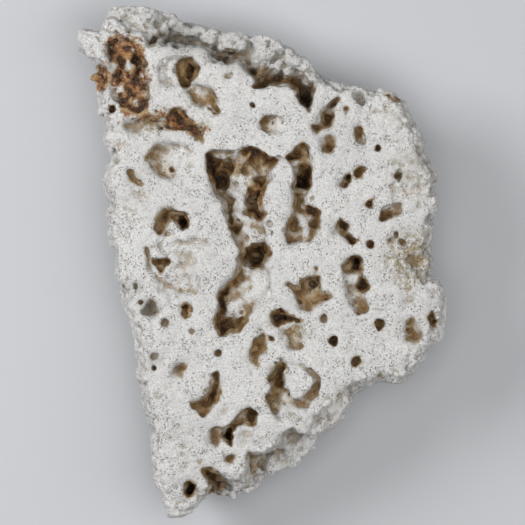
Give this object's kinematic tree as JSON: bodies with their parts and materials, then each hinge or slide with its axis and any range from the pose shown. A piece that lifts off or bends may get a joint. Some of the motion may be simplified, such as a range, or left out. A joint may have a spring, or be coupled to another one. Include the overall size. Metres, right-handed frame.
{
  "type": "reef base rock",
  "caption": "Flat slab of holed white reef limestone, lying on its back with cavities, a long trough and a broken rim on its upper face.",
  "frame": {"origin": "middle of the rock's box in plan, at the level of the flat it rests on", "axes": "+Y along the slab's length, from its narrow foot to its broad top; +Z out of its holed face"},
  "size_m": [0.2304, 0.3194, 0.0928],
  "materials": {
    "reef_stone": "rough, chalky, matte"
  },
  "bodies": {
    "root": {"reef_rock": "reef_stone"}
  },
  "joints": []
}
